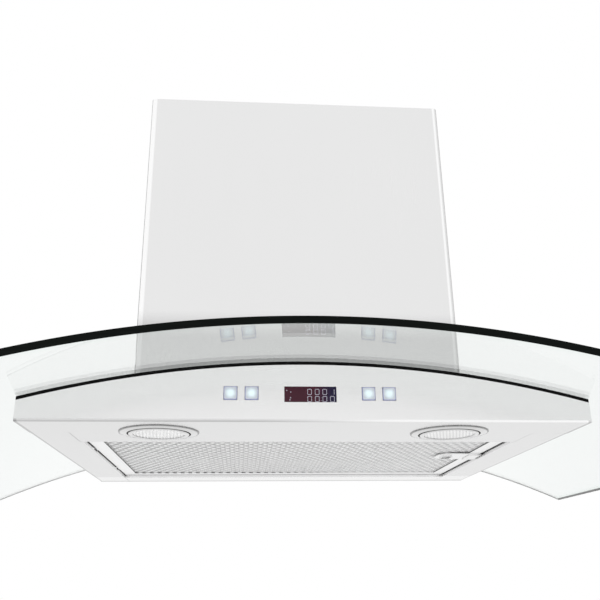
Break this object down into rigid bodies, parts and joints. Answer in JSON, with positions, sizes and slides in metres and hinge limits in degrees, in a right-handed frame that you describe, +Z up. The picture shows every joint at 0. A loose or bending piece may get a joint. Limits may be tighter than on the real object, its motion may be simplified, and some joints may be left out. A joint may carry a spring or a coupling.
{
  "type": "wall mount range hood",
  "caption": "Wall mounted range hood with an arched glass canopy, a flat steel body with a display, buttons, lamps and a drop-down mesh filter, and a telescopic duct cover over its blower.",
  "frame": {"origin": "centre of the four wall screw holes, on the wall plane", "axes": "+X to the right as seen from the front, +Y into the wall, +Z up"},
  "size_m": [0.75, 0.5, 0.4195],
  "materials": {
    "glass": "clear tempered, ground edge",
    "rubber": "matte",
    "stainless": "fine brushed",
    "galvanised": "satin zinc",
    "fixings": "bright zinc",
    "fan_plastic": "moulded",
    "motor_steel": "satin",
    "copper": "enamelled winding",
    "white_plastic": "moulded",
    "black_plastic": "moulded",
    "capacitor_shell": "drawn can",
    "board": "laminate with solder mask",
    "lamp_board": "white laminate",
    "display": "dark tinted, polished",
    "button": "translucent, lit from behind",
    "lamp_trim": "satin",
    "lamp_glass": "pressed texture",
    "filter_aluminium": "satin",
    "spring_steel": "tempered strip"
  },
  "bodies": {
    "hood": {"glass_canopy": "glass", "glass_gasket": "rubber", "glass_bushes": "rubber", "glass_screws": "fixings", "glass_nuts": "fixings", "front_panel": "stainless", "left_side_panel": "stainless", "right_side_panel": "stainless", "back_panel": "stainless", "top_deck": "stainless", "wall_plate": "galvanised", "blower_box": "galvanised", "box_screws": "fixings", "scroll_band": "galvanised", "scroll_left_plate": "galvanised", "scroll_right_plate": "galvanised", "motor_can": "motor_steel", "motor_stator": "copper", "motor_bearings": "fixings", "motor_bracket": "galvanised", "outlet_collar": "black_plastic", "flap_pin": "fixings", "lower_duct_cover": "stainless", "power_box": "white_plastic", "power_box_lid": "white_plastic", "lid_screws": "fixings", "cable_grommet": "rubber", "terminal_block": "white_plastic", "capacitor": "capacitor_shell", "display_window": "display", "display_module": "black_plastic", "button_carrier": "white_plastic", "control_board": "board", "board_screws": "fixings", "button_switches": "black_plastic", "lamp_cans": "capacitor_shell", "lamp_boards": "lamp_board", "lamp_clips": "spring_steel", "left_lamp_bezel": "lamp_trim", "right_lamp_bezel": "lamp_trim", "left_lamp_lens": "lamp_glass", "right_lamp_lens": "lamp_glass"},
    "fan": {"fan_wheel": "fan_plastic", "motor_shaft": "fixings", "motor_rotor": "motor_steel"},
    "front_flap": {"front_flap": "black_plastic"},
    "rear_flap": {"rear_flap": "black_plastic"},
    "upper_cover": {"upper_duct_cover": "stainless", "upper_cover_bracket": "galvanised", "cover_screws": "fixings"},
    "filter": {"filter_frame": "filter_aluminium", "filter_mesh": "filter_aluminium", "filter_backing": "filter_aluminium", "latch_guide": "stainless", "latch_spring": "spring_steel"},
    "latch": {"latch_plate": "stainless"},
    "left_outer_button": {"left_outer_button": "button"},
    "left_inner_button": {"left_inner_button": "button"},
    "right_inner_button": {"right_inner_button": "button"},
    "right_outer_button": {"right_outer_button": "button"}
  },
  "joints": [
    {"name": "fan_spin", "type": "hinge", "parent": "hood", "child": "fan", "pos_m": [0, -0.086, -0.025], "axis": [1, 0, 0], "continuous": true},
    {"name": "front_flap_swing", "type": "hinge", "parent": "hood", "child": "front_flap", "pos_m": [0, -0.15748, 0.101], "axis": [-1, 0, 0], "range_deg": [0, 80]},
    {"name": "rear_flap_swing", "type": "hinge", "parent": "hood", "child": "rear_flap", "pos_m": [0, -0.15748, 0.101], "axis": [1, 0, 0], "range_deg": [0, 80]},
    {"name": "upper_cover_slide", "type": "slide", "parent": "hood", "child": "upper_cover", "axis": [0, 0, 1], "range_m": [0, 0.27]},
    {"name": "filter_swing", "type": "hinge", "parent": "hood", "child": "filter", "pos_m": [-0.2046, -0.173, -0.1714], "axis": [0, 1, 0], "range_deg": [0, 50]},
    {"name": "latch_pull", "type": "slide", "parent": "filter", "child": "latch", "axis": [-1, 0, 0], "range_m": [0, 0.005], "stiffness_N_per_m": 400, "deforming": ["latch_spring"]},
    {"name": "left_outer_button_press", "type": "slide", "parent": "hood", "child": "left_outer_button", "axis": [0, 1, 0], "range_m": [0, 0.001], "stiffness_N_per_m": 1500},
    {"name": "left_inner_button_press", "type": "slide", "parent": "hood", "child": "left_inner_button", "axis": [0, 1, 0], "range_m": [0, 0.001], "stiffness_N_per_m": 1500},
    {"name": "right_inner_button_press", "type": "slide", "parent": "hood", "child": "right_inner_button", "axis": [0, 1, 0], "range_m": [0, 0.001], "stiffness_N_per_m": 1500},
    {"name": "right_outer_button_press", "type": "slide", "parent": "hood", "child": "right_outer_button", "axis": [0, 1, 0], "range_m": [0, 0.001], "stiffness_N_per_m": 1500}
  ]
}
